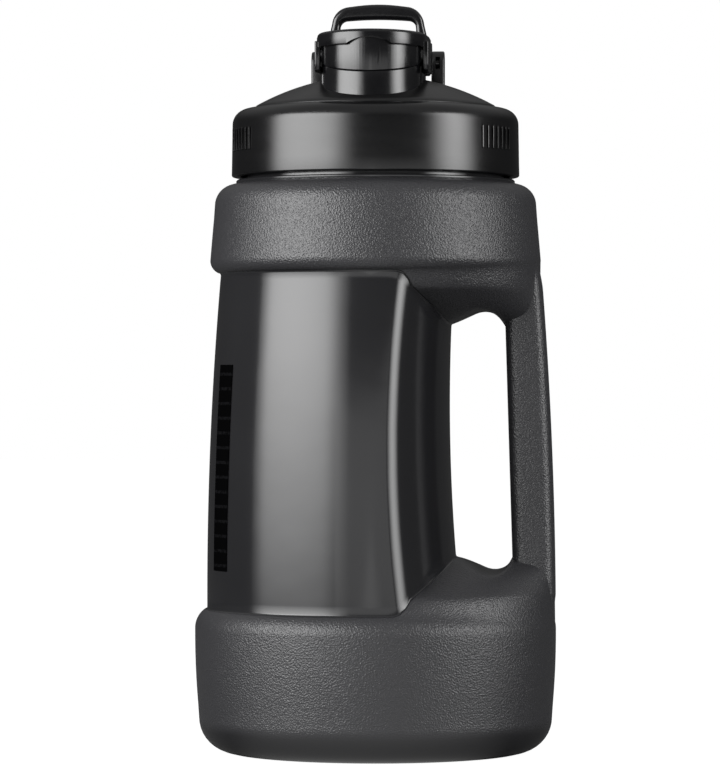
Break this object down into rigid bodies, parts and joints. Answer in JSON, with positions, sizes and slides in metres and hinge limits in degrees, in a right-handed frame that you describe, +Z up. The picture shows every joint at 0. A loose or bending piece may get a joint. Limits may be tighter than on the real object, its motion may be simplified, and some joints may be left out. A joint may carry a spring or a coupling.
{
  "type": "large drinking jug",
  "caption": "Wide blow-moulded drinking jug with a handle moulded into its side, a domed screw lid, a flip cap over the spout and a folding carry loop.",
  "frame": {"origin": "centre of the base, on the surface the jug stands on", "axes": "+Z up along the neck, -Y towards the spout, +X towards the handle"},
  "size_m": [0.137, 0.137, 0.2849],
  "materials": {
    "body_plastic": "dark grey plastic, grained on the bands and the handle, smooth and glossy on the waist",
    "scale_print": "printed black",
    "lid_plastic": "satin black",
    "cap_plastic": "gloss black",
    "silicone": "soft matte",
    "steel": "drawn steel pin"
  },
  "bodies": {
    "jug": {"jug_body": "body_plastic", "volume_scale_strip": "scale_print"},
    "gasket": {"lid_gasket": "silicone"},
    "lid": {"lid_collar": "lid_plastic", "lid_dome": "lid_plastic", "spout_seat": "cap_plastic", "cap_hinge_pin": "steel"},
    "cap": {"flip_cap": "cap_plastic", "cap_seal": "silicone"},
    "loop": {"carry_loop": "cap_plastic"}
  },
  "joints": [
    {"name": "lid_rise", "type": "slide", "parent": "jug", "child": "gasket", "axis": [0, 0, 1], "range_m": [0, 0.0091]},
    {"name": "lid_turn", "type": "hinge", "parent": "gasket", "child": "lid", "pos_m": [0, 0, 0.23], "axis": [0, 0, 1], "range_deg": [0, 540]},
    {"name": "cap_hinge", "type": "hinge", "parent": "lid", "child": "cap", "pos_m": [0, 0.002, 0.2635], "axis": [-1, 0, 0], "range_deg": [0, 100]},
    {"name": "loop_hinge", "type": "hinge", "parent": "lid", "child": "loop", "pos_m": [0, 0.018, 0.2625], "axis": [-1, 0, 0], "range_deg": [0, 115]}
  ],
  "couplings": [
    {"joint": "lid_rise", "follows": "lid_turn", "m_per_rad": 0.00095493}
  ]
}
